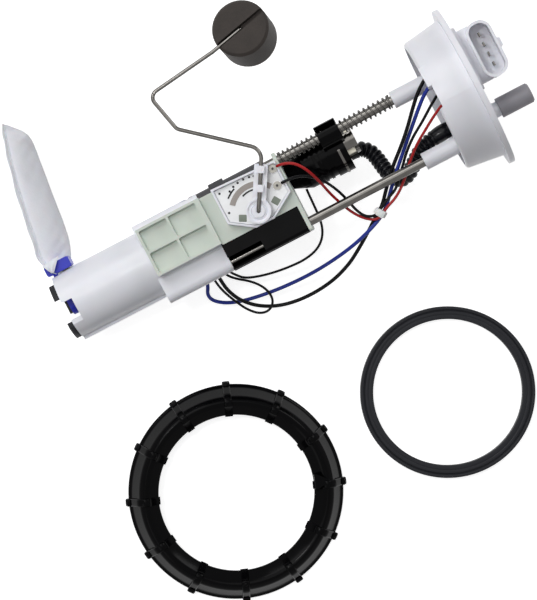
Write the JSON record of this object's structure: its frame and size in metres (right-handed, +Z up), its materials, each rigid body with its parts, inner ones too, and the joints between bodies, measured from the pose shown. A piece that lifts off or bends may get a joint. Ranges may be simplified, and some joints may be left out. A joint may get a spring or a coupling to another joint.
{
  "type": "fuel pump module",
  "caption": "In-tank fuel pump module lying on its side: lid with connector and outlet, spring-loaded carrier with pump, hose and wires, float sender, strainer bag, lock ring and seal ring.",
  "frame": {"origin": "centre of the lid's sealing face, the underside of its rim, where the rim meets the tank's neck", "axes": "+Z up from the surface the unit lies on; +X level, towards the lid's top, with the module's own axis leaning 5.6 degrees up from it; +Y to the side where the float arm reaches"},
  "size_m": [0.3461, 0.3406, 0.1058],
  "materials": {
    "white_acetal": "smooth moulded",
    "natural_nylon": "milky, satin",
    "black_nylon": "glossy moulded",
    "sleeve_nylon": "satin",
    "brown_pom": "satin",
    "transit_cap": "dull moulded",
    "blue_plastic": "satin",
    "stainless": "drawn, bright",
    "spring_steel": "drawn",
    "tinned_brass": "plated",
    "zinc_can": "plated",
    "shell_steel": "plated",
    "ferrite": "sintered",
    "winding": "varnished laminations and copper",
    "black_rubber": "soft, matt",
    "seal_rubber": "soft, matt",
    "card_ceramic": "fired, matt",
    "conductor_ink": "printed film",
    "resistor_film": "printed film",
    "tinned_steel": "tinned",
    "float_foam": "closed-cell, matt",
    "strainer_fabric": "felted, seam stitched",
    "hose_plastic": "corrugated, glossy",
    "black_insulation": "smooth",
    "blue_insulation": "smooth",
    "red_insulation": "smooth",
    "tie_nylon": "natural, satin"
  },
  "bodies": {
    "carrier": {"carrier": "white_acetal", "rubber_feet": "black_rubber", "wire_grommet": "black_rubber", "pump_shell": "shell_steel", "pump_inlet_cap": "brown_pom", "pump_outlet_cap": "black_nylon", "pump_terminals": "tinned_brass", "magnets": "ferrite", "pump_isolator": "black_rubber", "pump_holder": "black_nylon", "rod_sleeve": "sleeve_nylon", "outlet_head": "black_nylon", "pressure_regulator": "zinc_can", "regulator_ring": "black_rubber", "regulator_cage": "stainless", "head_clip": "stainless", "guide_spring": "spring_steel", "sender_bracket": "natural_nylon", "sender_housing": "white_acetal", "sender_card": "card_ceramic", "resistor_track": "resistor_film", "conductor_tracks": "conductor_ink", "sender_terminals": "tinned_steel", "strainer_bag": "strainer_fabric", "strainer_frame": "blue_plastic", "corrugated_hose": "hose_plastic", "pump_wire_black": "black_insulation", "pump_wire_blue": "blue_insulation", "sender_wire_black": "black_insulation", "sender_wire_red": "red_insulation", "ground_wire": "black_insulation", "loop_wire": "black_insulation", "cable_tie": "tie_nylon"},
    "flange": {"flange_lid": "white_acetal", "connector_terminals": "tinned_steel", "inner_plug": "black_nylon", "guide_rod_upper": "stainless", "guide_rod_lower": "stainless"},
    "outlet_cap": {"outlet_cap": "transit_cap"},
    "pump_rotor": {"armature": "winding", "pump_shaft": "stainless", "impeller": "brown_pom"},
    "float_arm": {"wiper_arm": "white_acetal", "wiper_contact": "tinned_brass", "float_wire": "stainless", "float": "float_foam"},
    "lock_ring": {"lock_ring": "black_nylon"},
    "seal_ring": {"seal_ring": "seal_rubber"}
  },
  "joints": [
    {"name": "guide_slide", "type": "slide", "parent": "carrier", "child": "flange", "axis": [0.9952, 0, 0.098], "range_m": [-0.028, 0], "stiffness_N_per_m": 500, "springref_m": 0.03, "deforming": ["guide_spring", "corrugated_hose", "pump_wire_black", "pump_wire_blue", "sender_wire_black", "sender_wire_red", "cable_tie"]},
    {"name": "float_hinge", "type": "hinge", "parent": "carrier", "child": "float_arm", "pos_m": [-0.15312, -0.007, 0.01206], "axis": [-0.098, 0, 0.9952], "range_deg": [-6, 72]},
    {"name": "rotor_spin", "type": "hinge", "parent": "carrier", "child": "pump_rotor", "pos_m": [-0.2286, -0.0046, -0.02552], "axis": [0.9952, 0, 0.098], "continuous": true},
    {"name": "cap_pull", "type": "slide", "parent": "flange", "child": "outlet_cap", "axis": [0.9952, 0, 0.098], "range_m": [0, 0.04]},
    {"name": "lock_ring_lift", "type": "slide", "parent": "carrier", "child": "lock_ring", "axis": [0, 0, 1], "range_m": [0, 0.06]},
    {"name": "seal_ring_lift", "type": "slide", "parent": "carrier", "child": "seal_ring", "axis": [0, 0, 1], "range_m": [0, 0.06]}
  ]
}
